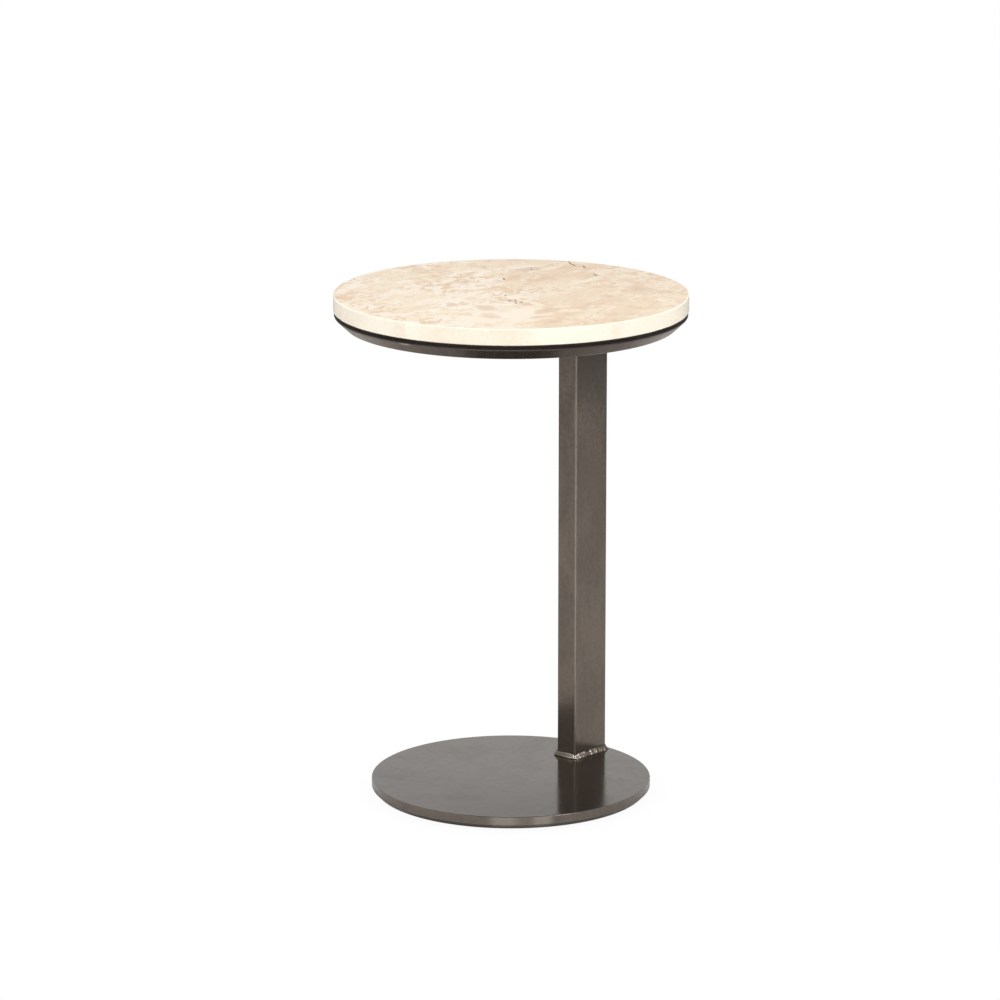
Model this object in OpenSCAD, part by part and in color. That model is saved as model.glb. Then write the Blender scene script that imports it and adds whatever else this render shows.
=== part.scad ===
// Side table with a round stone top, an offset rectangular column and a round base plate.
// Millimetres. The origin is on the floor under the middle of the base, +Z is up, and the
// column stands towards +Y, so that the table's open side faces -Y.

/* [Stone top] */
// Diameter of the stone
stone_d = 430; // [420:5:460]
// Thickness of the stone
stone_t = 20; // [15:1:30]
// Radius that eases the stone's upper and lower edges
stone_arris = 1.2; // [0.6:0.1:2]
// How far the stone stands out past the pan under it
stone_overhang = 1; // [0.5:0.5:4]

/* [Pan and board] */
// Gauge of the sheet that the pan is spun from
pan_sheet = 2; // [1:0.5:2.5]
// Height of the pan's upright lip
pan_lip = 6; // [3:0.5:7]
// How far the pan's sloping flank draws in, all round
pan_inset = 14; // [9:1:20]
// Inside radius of the pan's bends
pan_bend = 1; // [0.5:0.5:2]
// Thickness of the board that fills the pan
board_t = 16; // [14:1:20]
// Thickness of the silicone pads that bond the stone to the board
bond_t = 1; // [0.5:0.5:2]
// Diameter of a silicone pad
bond_d = 28; // [16:2:32]

/* [Column] */
// Length of the tube between the base and the head plate
column_h = 563; // [450:1:680]
// Distance of the tube's outer face from the edge of the base plate
column_margin = 8; // [8:0.5:24]
// Size of the tube along the line to the middle of the table
tube_depth = 60; // [50:5:70]
// Size of the tube across that line
tube_width = 30; // [25:5:40]
// Wall of the tube
tube_wall = 2; // [1.5:0.5:3]
// Inside radius of the tube's corners
tube_bend = 1; // [0.5:0.5:2]

/* [Head plate] */
// Thickness of the plate on top of the tube
head_t = 6; // [4:1:8]
// How far the head plate stands out past the tube's narrow faces
head_margin_deep = 20; // [18:1:24]
// How far the head plate stands out past the tube's wide faces
head_margin_wide = 30; // [26:1:34]
// Radius of the head plate's corners
head_corner = 8; // [4:1:10]
// Distance of the head plate's outer edge from the edge of the pan's flat underside
head_inset = 16; // [10:1:30]
// Distance of a bolt's axis from the edges of the head plate
bolt_edge = 11; // [9:1:12]

/* [Fasteners] */
// Thread diameter of the bolts
bolt_d = 6; // [5:1:6]
// Diameter of a bolt's domed head
bolt_head_d = 10.5; // [9:0.5:11]
// Height of a bolt's domed head
bolt_head_h = 3.3; // [2.5:0.1:4]
// Size across the flats of a bolt's hexagon socket
socket_af = 4; // [3:0.5:4]
// Outside diameter of a washer
washer_d = 12; // [11.5:0.5:14]
// Thickness of a washer
washer_t = 1.6; // [1:0.2:2]
// Outside diameter of an insert nut's barrel
insert_d = 9; // [8.5:0.5:11]
// Length of an insert nut's barrel, below its flange
insert_l = 9; // [7:1:11]
// Diameter of an insert nut's flange
insert_flange_d = 17; // [15:1:20]
// Thickness of an insert nut's flange
insert_flange_t = 1.5; // [1:0.5:2]

/* [Base] */
// Diameter of the base plate
base_d = 344; // [320:2:360]
// Thickness of the base plate
base_t = 16; // [12:1:20]
// Height and depth of the bevel under the base plate's edge
base_bevel = 6; // [3:0.5:8]
// Radius that eases the base plate's upper edge
base_arris = 1; // [0.5:0.1:1.5]
// Thickness of the glides under the base plate
glide_t = 2; // [1:0.5:4]
// Diameter of a glide
glide_d = 26; // [20:2:36]
// Bare margin between a glide and the edge of the base plate's flat underside
glide_inset = 8; // [4:1:16]

/* [Welds] */
// How far the bead at the foot reaches up the tube
weld_rise = 6.2; // [5:0.1:7]
// How far the bead at the foot reaches out over the base plate
weld_reach = 4.6; // [4:0.1:5]
// How far the bead at the head reaches down the tube
head_weld_rise = 4; // [3:0.1:5]
// How far the bead at the head reaches out under the head plate
head_weld_reach = 3.6; // [3:0.1:5]
// Length of one ripple along a bead
ripple_pitch = 3.2; // [2.8:0.2:4]
// How far the middle of a ripple runs ahead of its two edges
ripple_bow = 1.2; // [0.6:0.2:1.6]
// How far a ripple stands out of the bead
ripple_h = 0.3; // [0.1:0.05:0.4]
// How far on each side of a stop in the welding the bead stays thin
stop_length = 6; // [4:0.5:8]

/* [Hidden] */

$fn = 96;

// Clearances
cut = 1;              // overrun of a cut past the face that it leaves
hole_play = 0.6;      // what a clearance hole has over its bolt, on the diameter
thread_play = 0.1;    // what a nut's bore has over its bolt, on the diameter
board_gap = 0.5;      // between the board and the pan's flank
bolt_shy = 0.6;       // how far a bolt's tip stays below the top of the board
weld_seat = 0.05;     // between a bead and the tube that it runs round

// Small edges
base_fold = 0.8;      // radius where the base plate's side turns into its bevel
glide_arris = 0.4;    // radius of a glide's lower edge
socket_depth_share = 0.6; // depth of a bolt's socket as a share of its head's height

// Counts
bond_outer_count = 8;
bond_inner_count = 4;
glide_count = 4;
arc_steps = 6;        // straight steps in each rounded corner of a turned profile

// Silicone pads lie on two rings, each a share of the pan's radius
bond_ring_shares = [0.87, 0.36];

// A bead laid by hand. It swells and shrinks by these shares of itself, over whole numbers of
// waves round the tube, and is thin at each place where the welder stopped and started again
swell_waves = [1, 7, 11];
swell_shares = [0.19, 0.04, 0.04];
swell_phases = [52, 266, 185];
stop_place_shares = [0.105, 0.345, 0.52, 0.74, 0.976]; // of the way round
stop_thin_share = 0.36; // how much thinner the bead is at a stop
bead_facets = 5;      // steps across the bead's face
bead_steps = 4;       // stations along one ripple
bead_crown_share = 0.5; // 0 is a flat face, 1 is a quarter round
ripple_shares = [0, 1, 0.7, 0.3]; // a ripple's height at each of its stations

// Heights of the stack
base_z = glide_t;
column_z = base_z + base_t;
head_z = column_z + column_h;
pan_z = head_z + head_t;
pan_h = pan_sheet + board_t + bond_t;
board_z = pan_z + pan_sheet;
stone_z = pan_z + pan_h;

// The pan's outline, and the same outline one sheet further in
pan_r = stone_d / 2 - stone_overhang;
pan_floor_r = pan_r - pan_inset;
pan_flank_h = pan_h - pan_lip;
pan_slope = atan2(pan_flank_h, pan_inset);

// The column stands near the edge of the base plate, on +Y, and carries the top by a plate near
// the edge of the pan's flat underside
tube_corner = tube_bend + tube_wall;
tube_side = tube_depth - 2 * tube_corner;
tube_end = tube_width - 2 * tube_corner;
head_deep = tube_depth + 2 * head_margin_deep;
head_wide = tube_width + 2 * head_margin_wide;
column_offset = base_d / 2 - column_margin - tube_depth / 2;
top_offset = column_offset - (pan_floor_r - head_inset - head_deep / 2);

// Bolts through the head plate, the pan and the board
bolt_deep = head_deep / 2 - bolt_edge;
bolt_wide = head_wide / 2 - bolt_edge;
bolt_l = washer_t + head_t + pan_sheet + board_t - bolt_shy;

// Glides
base_flat_r = base_d / 2 - base_bevel;
glide_ring_r = base_flat_r - glide_inset - glide_d / 2;

// Colours
stone_colour = [0.96, 0.91, 0.83];
metal_colour = [0.34, 0.31, 0.29];
weld_colour = [0.42, 0.40, 0.38];
board_colour = [0.72, 0.57, 0.40];
zinc_colour = [0.74, 0.74, 0.72];
black_colour = [0.12, 0.12, 0.12];
silicone_colour = [0.85, 0.86, 0.86];

function unit(v) = v / norm(v);

// The arc that rounds corner b between a and c
function corner_arc(a, b, c, r) =
    r == 0 ? [b] :
    let (u = unit(a - b),
         w = unit(c - b),
         half = acos(u * w) / 2,
         centre = b + unit(u + w) * r / sin(half),
         from = b + u * r / tan(half) - centre,
         to = b + w * r / tan(half) - centre,
         start = atan2(from.y, from.x),
         turn = atan2(from.x * to.y - from.y * to.x, from * to))
    [for (i = [0 : arc_steps])
        centre + r * [cos(start + turn * i / arc_steps), sin(start + turn * i / arc_steps)]];

// A closed outline from rows of [x, y, corner radius]
function rounded_outline(rows) =
    let (n = len(rows), p = [for (row = rows) [row.x, row.y]])
    [for (i = [0 : n - 1]) each corner_arc(p[(i + n - 1) % n], p[i], p[(i + 1) % n], rows[i].z)];

module turned(rows) {
    rotate_extrude() polygon(rounded_outline(rows));
}

// An upright bar with round corners, its sizes along X and Y
module round_bar(size_x, size_y, corner, height) {
    inner_x = size_x - 2 * corner;
    inner_y = size_y - 2 * corner;
    translate([-inner_x / 2, -size_y / 2, 0]) cube([inner_x, size_y, height]);
    translate([-size_x / 2, -inner_y / 2, 0]) cube([size_x, inner_y, height]);
    for (x = [-inner_x / 2, inner_x / 2], y = [-inner_y / 2, inner_y / 2])
        translate([x, y, 0]) cylinder(r = corner, h = height);
}

module at_top(z) {
    translate([0, top_offset, z]) children();
}

module at_column(z) {
    translate([0, column_offset, z]) children();
}

module at_bolts(z) {
    for (x = [-bolt_wide, bolt_wide], y = [-bolt_deep, bolt_deep])
        at_column(z) translate([x, y, 0]) children();
}

module on_ring(radius, count) {
    for (i = [0 : count - 1])
        rotate([0, 0, (i + 0.5) * 360 / count]) translate([radius, 0, 0]) children();
}

module stone_top() {
    r = stone_d / 2;
    color(stone_colour) at_top(stone_z)
        turned([[0, 0, 0], [r, 0, stone_arris], [r, stone_t, stone_arris], [0, stone_t, 0]]);
}

module bond_pads() {
    counts = [bond_outer_count, bond_inner_count];
    color(silicone_colour) for (i = [0 : len(counts) - 1])
        at_top(stone_z - bond_t)
            on_ring(pan_r * bond_ring_shares[i], counts[i])
                cylinder(d = bond_d, h = bond_t);
}

// Half of the pan's section: the outside from the floor up to the rim, then the inside back down
module top_pan() {
    bend = pan_bend + pan_sheet;
    floor_in = pan_floor_r - pan_sheet * tan(pan_slope / 2);
    fold_in = pan_flank_h + pan_sheet * tan((90 - pan_slope) / 2);
    color(metal_colour) difference() {
        at_top(pan_z) turned([
            [0, 0, 0],
            [pan_floor_r, 0, bend],
            [pan_r, pan_flank_h, bend],
            [pan_r, pan_h, 0],
            [pan_r - pan_sheet, pan_h, 0],
            [pan_r - pan_sheet, fold_in, pan_bend],
            [floor_in, pan_sheet, pan_bend],
            [0, pan_sheet, 0]]);
        at_bolts(pan_z - cut) cylinder(d = bolt_d + hole_play, h = pan_sheet + 2 * cut);
    }
}

module support_board() {
    inset = pan_sheet + board_gap;
    floor_in = pan_floor_r - inset * tan(pan_slope / 2) - board_gap / tan(pan_slope);
    side_r = pan_r - inset;
    fold_h = (side_r - floor_in) * tan(pan_slope);
    color(board_colour) difference() {
        at_top(board_z) turned([
            [0, 0, 0], [floor_in, 0, 0], [side_r, fold_h, 0], [side_r, board_t, 0], [0, board_t, 0]]);
        at_bolts(board_z - cut) cylinder(d = insert_d, h = board_t + 2 * cut);
        at_bolts(board_z + board_t - insert_flange_t)
            cylinder(d = insert_flange_d + hole_play, h = insert_flange_t + cut);
    }
}

module insert_nuts() {
    color(zinc_colour) at_bolts(board_z + board_t - insert_flange_t) difference() {
        union() {
            cylinder(d = insert_flange_d, h = insert_flange_t);
            translate([0, 0, -insert_l]) cylinder(d = insert_d, h = insert_l + insert_flange_t);
        }
        translate([0, 0, -insert_l - cut])
            cylinder(d = bolt_d + thread_play, h = insert_l + insert_flange_t + 2 * cut);
    }
}

// A domed bolt, its head down and its shank up, from under the washer
module head_bolts() {
    dome_r = (pow(bolt_head_d / 2, 2) + pow(bolt_head_h, 2)) / (2 * bolt_head_h);
    socket_h = bolt_head_h * socket_depth_share;
    color(black_colour) at_bolts(head_z - washer_t) difference() {
        union() {
            cylinder(d = bolt_d, h = bolt_l);
            intersection() {
                translate([0, 0, dome_r - bolt_head_h]) sphere(r = dome_r);
                translate([0, 0, -bolt_head_h]) cylinder(d = bolt_head_d, h = bolt_head_h);
            }
        }
        translate([0, 0, -bolt_head_h - cut])
            cylinder(d = socket_af / cos(30), h = socket_h + cut, $fn = 6);
    }
}

module head_washers() {
    color(black_colour) at_bolts(head_z - washer_t) difference() {
        cylinder(d = washer_d, h = washer_t);
        translate([0, 0, -cut]) cylinder(d = bolt_d + hole_play, h = washer_t + 2 * cut);
    }
}

module head_plate() {
    color(metal_colour) difference() {
        at_column(head_z) round_bar(head_wide, head_deep, head_corner, head_t);
        at_bolts(head_z - cut) cylinder(d = bolt_d + hole_play, h = head_t + 2 * cut);
    }
}

module column_tube() {
    color(metal_colour) at_column(column_z) difference() {
        round_bar(tube_width, tube_depth, tube_corner, column_h);
        translate([0, 0, -cut])
            round_bar(tube_width - 2 * tube_wall, tube_depth - 2 * tube_wall, tube_bend,
                      column_h + 2 * cut);
    }
}

// A bead runs along the tube's flats, and round its corners on an arc under the bead's middle
function corner_run(reach) = PI * (tube_corner + reach / 2) / 2;
function bead_run(reach) = 2 * (tube_side + tube_end) + 4 * corner_run(reach);

// The place s along that run, from the -Y end of the flat of the +X face, as [x, y, angle of
// the outward normal] on the tube. The second half of the run is the first half turned about
function tube_place(s, reach) =
    let (arc = corner_run(reach),
         halves = floor(2 * s / bead_run(reach)),
         on_side = s - halves * bead_run(reach) / 2,
         on_arc = on_side - tube_side,
         on_end = on_arc - arc,
         on_last_arc = on_end - tube_end,
         angle = on_arc < 0 ? 0 : on_end < 0 ? 90 * on_arc / arc :
                 on_last_arc < 0 ? 90 : 90 + 90 * on_last_arc / arc,
         centre = on_arc < 0 ? [tube_end / 2, on_side - tube_side / 2] :
                  on_end < 0 ? [tube_end / 2, tube_side / 2] :
                  on_last_arc < 0 ? [tube_end / 2 - on_end, tube_side / 2] :
                  [-tube_end / 2, tube_side / 2],
         way = halves % 2 == 0 ? 1 : -1)
    [each way * (centre + tube_corner * [cos(angle), sin(angle)]), angle + 180 * halves];

function sum(list, i = 0) = i < len(list) ? list[i] + sum(list, i + 1) : 0;

// How near a stop is: 1 at the stop, and 0 from stop_length on
function stop_near(gap) = gap < stop_length ? (1 + cos(180 * gap / stop_length)) / 2 : 0;

// The size of the bead at a share of the way round, as a share of its rise and reach
function swell(along, run) =
    let (waves = sum([for (k = [0 : len(swell_waves) - 1])
             swell_shares[k] * sin(360 * swell_waves[k] * along + swell_phases[k])]),
         gaps = [for (place = stop_place_shares) run * abs((along - place + 1.5) % 1 - 0.5)])
    (1 + waves) * (1 - stop_thin_share * max([for (gap = gaps) stop_near(gap)]));

// Section i of the bead: points up its face, from the toe on the plate to the toe on the tube,
// and the root in the corner. The middle of the face runs ahead, so that a ripple is a crescent
function bead_section(rise, reach, i, stations) =
    let (run = bead_run(reach),
         size = swell(i / stations, run),
         ripple = ripple_h * ripple_shares[i % bead_steps])
    [for (k = [0 : bead_facets + 1])
        let (share = k / bead_facets,
             is_root = k > bead_facets,
             ahead = is_root ? 0 : ripple_bow * sin(180 * share),
             place = tube_place(run * i / stations + ahead, reach),
             face = (1 - bead_crown_share) * [1 - share, share] +
                    bead_crown_share * [cos(90 * share), sin(90 * share)],
             out = weld_seat + (is_root ? 0 : (reach * size + ripple) * face.x),
             up = is_root ? 0 : (rise * size + ripple) * face.y)
        [place.x + out * cos(place.z), place.y + out * sin(place.z), up]];

// A fillet bead round the tube, standing on z = 0
module bead(rise, reach) {
    stations = round(bead_run(reach) / ripple_pitch) * bead_steps;
    ring = bead_facets + 2;
    points = [for (i = [0 : stations - 1]) each bead_section(rise, reach, i, stations)];
    faces = [for (i = [0 : stations - 1], k = [0 : ring - 1])
        let (here = i * ring,
             next = (i + 1) % stations * ring,
             up = (k + 1) % ring)
        each [[here + k, next + up, next + k], [here + k, here + up, next + up]]];
    polyhedron(points = points, faces = faces);
}

module base_weld() {
    color(weld_colour) at_column(column_z) bead(weld_rise, weld_reach);
}

module head_weld() {
    color(weld_colour) at_column(head_z) mirror([0, 0, 1]) bead(head_weld_rise, head_weld_reach);
}

module base_plate() {
    r = base_d / 2;
    color(metal_colour) translate([0, 0, base_z]) turned([
        [0, 0, 0],
        [base_flat_r, 0, base_fold],
        [r, base_bevel, base_fold],
        [r, base_t, base_arris],
        [0, base_t, 0]]);
}

module floor_glides() {
    r = glide_d / 2;
    color(black_colour) on_ring(glide_ring_r, glide_count)
        turned([[0, 0, 0], [r, 0, glide_arris], [r, glide_t, 0], [0, glide_t, 0]]);
}

stone_top();
bond_pads();
support_board();
top_pan();
insert_nuts();
head_bolts();
head_washers();
head_plate();
head_weld();
column_tube();
base_weld();
base_plate();
floor_glides();
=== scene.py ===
import math
import random

import bmesh
import bpy
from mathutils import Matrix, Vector, noise


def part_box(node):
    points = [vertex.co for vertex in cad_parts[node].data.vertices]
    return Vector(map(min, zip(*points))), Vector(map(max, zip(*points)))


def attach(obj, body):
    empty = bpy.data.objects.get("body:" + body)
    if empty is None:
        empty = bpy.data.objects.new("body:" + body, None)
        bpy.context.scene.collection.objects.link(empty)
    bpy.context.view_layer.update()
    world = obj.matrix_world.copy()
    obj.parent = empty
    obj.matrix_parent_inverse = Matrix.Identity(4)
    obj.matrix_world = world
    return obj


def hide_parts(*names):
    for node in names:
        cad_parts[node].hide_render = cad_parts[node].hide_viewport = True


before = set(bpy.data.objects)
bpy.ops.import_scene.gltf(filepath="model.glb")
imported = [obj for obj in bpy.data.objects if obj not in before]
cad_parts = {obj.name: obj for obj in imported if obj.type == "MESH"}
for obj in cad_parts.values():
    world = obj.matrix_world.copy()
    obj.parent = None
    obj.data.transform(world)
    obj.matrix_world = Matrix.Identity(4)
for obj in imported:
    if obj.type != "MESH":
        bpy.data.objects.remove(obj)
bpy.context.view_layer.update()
root = "root"
mm = 0.001
tiny = 1e-6


# A dictionary whose values are also read as look.name
class Look(dict):
    __getattr__ = dict.__getitem__


# Small tools for meshes

def newObject(name, data):
    made = bpy.data.objects.new(name, data)
    bpy.context.scene.collection.objects.link(made)
    return made


def meshFrom(name, bm):
    mesh = bpy.data.meshes.new(name)
    bm.to_mesh(mesh)
    bm.free()
    return mesh


def finishMesh(name, bm, material, sharpAngle=math.radians(35)):
    bmesh.ops.recalc_face_normals(bm, faces=bm.faces)
    for face in bm.faces:
        face.smooth = True
    for edge in bm.edges:
        edge.smooth = len(edge.link_faces) == 2 and edge.calc_face_angle() < sharpAngle
    mesh = meshFrom(name, bm)
    mesh.materials.append(material)
    return newObject(name, mesh)


def placePiece(piece, slot, *nodes):
    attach(piece, root)
    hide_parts(*nodes)
    print("piece", piece.name, len(piece.data.polygons), "faces")


# The arc that rounds one corner of a profile
def cornerArc(before, corner, after, radius, steps):
    if radius == 0:
        return [corner]
    toBefore = (before - corner).normalized()
    toAfter = (after - corner).normalized()
    half = math.acos(toBefore.dot(toAfter)) / 2
    centre = corner + (toBefore + toAfter).normalized() * radius / math.sin(half)
    start = corner + toBefore * radius / math.tan(half) - centre
    end = corner + toAfter * radius / math.tan(half) - centre
    turn = math.atan2(start.x * end.y - start.y * end.x, start.dot(end))
    first = math.atan2(start.y, start.x)
    angles = [first + turn * i / steps for i in range(steps + 1)]
    return [centre + radius * Vector((math.cos(a), math.sin(a))) for a in angles]


# Rows of (x, y, corner radius) become points, with a holding point near both ends of each straight
def roundedProfile(rows, steps=8, hold=0.25 * mm, closed=False):
    corners = [Vector(row[:2]) for row in rows]
    count = len(rows)
    arcs = []
    for i, row in enumerate(rows):
        openEnd = not closed and i in (0, count - 1)
        radius = 0 if openEnd else row[2]
        arcs.append(cornerArc(corners[i - 1], corners[i], corners[(i + 1) % count], radius, steps))
    points = []
    for i, arc in enumerate(arcs):
        points += arc
        if i < count - 1 or closed:
            start = arcs[(i + 1) % count][0]
            gap = start - arc[-1]
            if gap.length > 4 * hold:
                step = gap.normalized() * hold
                points += [arc[-1] + step, start - step]
    return points


# Faces between loops of equal count; a loop of one vertex closes the form
def skinLoops(bm, loops):
    for low, high in zip(loops, loops[1:]):
        count = max(len(low), len(high))
        for i in range(count):
            j = (i + 1) % count
            if len(low) == 1:
                bm.faces.new((low[0], high[i], high[j]))
            elif len(high) == 1:
                bm.faces.new((low[i], low[j], high[0]))
            else:
                bm.faces.new((low[i], low[j], high[j], high[i]))


# Turns a profile of (radius, height) points round the upright line through centreY
def turnedMesh(profile, spokes, centreY=0.0, wobble=None):
    bm = bmesh.new()
    rings = []
    for radius, height in profile:
        if radius < tiny:
            rings.append([bm.verts.new((0, centreY, height))])
            continue
        ring = []
        for i in range(spokes):
            angle = 2 * math.pi * i / spokes
            point = Vector((radius * math.cos(angle), radius * math.sin(angle), height))
            if wobble:
                point = wobble(point, angle)
            ring.append(bm.verts.new(point + Vector((0, centreY, 0))))
        rings.append(ring)
    skinLoops(bm, rings)
    return bm


# A closed outline of a bar with round corners, counted from its +X side
def barOutline(sizeX, sizeY, corner, steps):
    x, y = sizeX / 2, sizeY / 2
    rows = [(x, -y, corner), (x, y, corner), (-x, y, corner), (-x, -y, corner)]
    return roundedProfile(rows, steps, closed=True)


def outlineLoop(bm, outline, centreY, z):
    return [bm.verts.new((point.x, point.y + centreY, z)) for point in outline]


# Small tools for shaders

# A value that is a socket gets linked to its input, and any other is set on it
def feed(node, values):
    for key, value in values.items():
        if isinstance(value, bpy.types.NodeSocket):
            node.id_data.links.new(value, node.inputs[key])
        else:
            node.inputs[key].default_value = value


def addNode(tree, kind, values=None, **settings):
    node = tree.nodes.new(kind)
    for key, value in settings.items():
        setattr(node, key, value)
    feed(node, values or {})
    return node


# A node in the same tree as the sockets that feed it
def nextNode(kind, values, **settings):
    tree = next(value.id_data for value in values.values() if isinstance(value, bpy.types.NodeSocket))
    return addNode(tree, kind, values, **settings)


def maths(operation, a, b=0.0):
    return nextNode("ShaderNodeMath", {0: a, 1: b}, operation=operation).outputs[0]


def plus(a, b):
    return maths("ADD", a, b)


def minus(a, b):
    return maths("SUBTRACT", a, b)


def times(a, b):
    return maths("MULTIPLY", a, b)


def over(a, b):
    return maths("DIVIDE", a, b)


def hypotenuse(a, b):
    return maths("SQRT", plus(times(a, a), times(b, b)))


def vectorMaths(operation, a, b=(0, 0, 0), output=0):
    return nextNode("ShaderNodeVectorMath", {0: a, 1: b}, operation=operation).outputs[output]


def scaled(vector, scale):
    return vectorMaths("MULTIPLY", vector, scale)


def splitVector(vector):
    return nextNode("ShaderNodeSeparateXYZ", {0: vector}).outputs


def joinVector(x, y, z):
    return nextNode("ShaderNodeCombineXYZ", {0: x, 1: y, 2: z}).outputs[0]


def flatPlace(place):
    return scaled(place, (1, 1, 0))


def radiusOf(place):
    return vectorMaths("LENGTH", flatPlace(place), output=1)


def mixColour(factor, a, b):
    return nextNode("ShaderNodeMix", {0: factor, 6: a, 7: b}, data_type="RGBA").outputs[2]


def mixValue(factor, a, b):
    return nextNode("ShaderNodeMix", {0: factor, 2: a, 3: b}, data_type="FLOAT").outputs[0]


def mixShader(factor, a, b):
    return nextNode("ShaderNodeMixShader", {0: factor, 1: a.outputs[0], 2: b.outputs[0]})


# Lays a tone over a colour where the mask is, as strongly as told
def layOver(colour, tone, mask, strength):
    return mixColour(times(mask, strength), colour, tone)


def remap(value, low, high, toLow=0.0, toHigh=1.0, smooth=True):
    values = {0: value, 1: low, 2: high, 3: toLow, 4: toHigh}
    kind = "SMOOTHSTEP" if smooth else "LINEAR"
    return nextNode("ShaderNodeMapRange", values, interpolation_type=kind).outputs[0]


# A mask of 0 to 1 becomes a value from low to high
def spanned(mask, low, high):
    return remap(mask, 0.0, 1.0, low, high, smooth=False)


def noiseField(vector, scale, detail=3.0, roughness=0.5, distortion=0.0):
    values = {"Vector": vector, "Scale": scale, "Detail": detail, "Roughness": roughness,
              "Distortion": distortion}
    return nextNode("ShaderNodeTexNoise", values).outputs[0]


# Noise that swings evenly either side of nothing, by half its size
def swing(vector, size, scale, detail):
    return times(minus(noiseField(vector, scale, detail), 0.5), size)


def greyRamp(factor, stops):
    node = nextNode("ShaderNodeValToRGB", {0: factor})
    points = node.color_ramp.elements
    while len(points) < len(stops):
        points.new(0.5)
    for point, (place, level) in zip(points, stops):
        point.position = place
        point.color = (level, level, level, 1)
    return node.outputs[0]


def objectPlace(tree):
    return addNode(tree, "ShaderNodeTexCoord").outputs["Object"]


def blankTree(owner):
    owner.use_nodes = True
    owner.node_tree.nodes.clear()
    return owner.node_tree


def newMaterial(name):
    material = bpy.data.materials.new(name)
    tree = blankTree(material)
    shader = addNode(tree, "ShaderNodeBsdfPrincipled")
    nextNode("ShaderNodeOutputMaterial", {"Surface": shader.outputs[0]})
    return material, shader, objectPlace(tree)


# The look's roughness, moved by a mask between two steps from it
def roughnessFrom(mask, look):
    low, high = look.roughSteps
    return spanned(mask, look.roughness + low, look.roughness + high)


def bumpFrom(height, look):
    values = {"Height": height, "Strength": look.bump, "Distance": look.bumpDepth}
    return nextNode("ShaderNodeBump", values).outputs[0]


# Shader groups that several finishes share. An input of None is a vector, and the rest are numbers

def startGroup(name, inputs, output="Mask"):
    group = bpy.data.node_groups.new(name, "ShaderNodeTree")
    for label, value in inputs.items():
        kind = "NodeSocketVector" if value is None else "NodeSocketFloat"
        socket = group.interface.new_socket(label, in_out="INPUT", socket_type=kind)
        if value is not None:
            socket.default_value = value
    group.interface.new_socket(output, in_out="OUTPUT", socket_type="NodeSocketFloat")
    return group, addNode(group, "NodeGroupInput").outputs


def endGroup(group, value):
    addNode(group, "NodeGroupOutput", {0: value})
    return group


# The values are named as the group's own inputs
def useGroup(group, place, values):
    return nextNode("ShaderNodeGroup", {"Position": place, **values}, node_tree=group).outputs[0]


# 1 up to the core's share of one Width, 0 from one Width on, along a ragged line
def raggedEdge(given, gap, grainScale, core):
    size = times(given["Raggedness"], given["Width"])
    ragged = plus(gap, swing(given["Position"], size, grainScale, detail=4.0))
    return remap(over(ragged, given["Width"]), 1.0, core)


# How near a point is to the round edge at Radius and Height: 1 on the edge, 0 one Width away. It carries edge
# wear, the painted shade on the pan's lip and the painted highlight on the stone's arris
def makeRimWearAndLight():
    group, given = startGroup("rimWearAndLight", {
        "Position": None, "Radius": 0.2, "Height": 0.0, "Width": 0.001, "Raggedness": 0.5})
    away = minus(radiusOf(given["Position"]), given["Radius"])
    above = minus(splitVector(given["Position"])[2], given["Height"])
    return endGroup(group, raggedEdge(given, hypotenuse(away, above), grainScale=260.0, core=0.0))


# How near a point is to an upright line: 1 on the line, 0 one Width away. Mirrored about Middle, so that one
# use serves the four corners of a tube. It carries the painted highlight and painted shade along the column's
# corners
def makeCornerHighlightAndShade():
    group, given = startGroup("cornerHighlightAndShade", {
        "Position": None, "Middle": None, "HalfX": 0.015, "HalfY": 0.03, "Width": 0.001, "Raggedness": 0.5})
    fromMiddle = vectorMaths("SUBTRACT", given["Position"], given["Middle"])
    parts = splitVector(vectorMaths("ABSOLUTE", fromMiddle))
    x = minus(parts[0], given["HalfX"])
    y = minus(parts[1], given["HalfY"])
    return endGroup(group, raggedEdge(given, hypotenuse(x, y), grainScale=150.0, core=0.35))


# A spot in a slab: 1 inside an oval of half sizes Long and Wide, whose long axis lies along Way
def makeSpot():
    group, given = startGroup("spot", {
        "Position": None, "Centre": None, "Way": None, "Long": 0.01, "Wide": 0.005, "Soft": 0.3})
    parts = splitVector(vectorMaths("SUBTRACT", given["Position"], given["Centre"]))
    way = splitVector(given["Way"])
    along = plus(times(parts[0], way[0]), times(parts[1], way[1]))
    across = minus(times(parts[0], way[1]), times(parts[1], way[0]))
    reach = hypotenuse(over(along, given["Long"]), over(across, given["Wide"]))
    return endGroup(group, remap(reach, plus(1.0, given["Soft"]), minus(1.0, given["Soft"])))


# Soft patches about one Size across, for patina, clouds and mottles
def makeMottle():
    group, given = startGroup("mottle", {
        "Position": None, "Size": 0.03, "Detail": 4.0, "Warp": 0.4, "Low": 0.35, "High": 0.65, "Place": 0.0})
    shift = joinVector(given["Place"], given["Place"], given["Place"])
    moved = vectorMaths("ADD", given["Position"], shift)
    scale = over(1.0, given["Size"])
    field = noiseField(moved, scale, given["Detail"], roughness=0.55, distortion=given["Warp"])
    return endGroup(group, remap(field, given["Low"], given["High"]))


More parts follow.
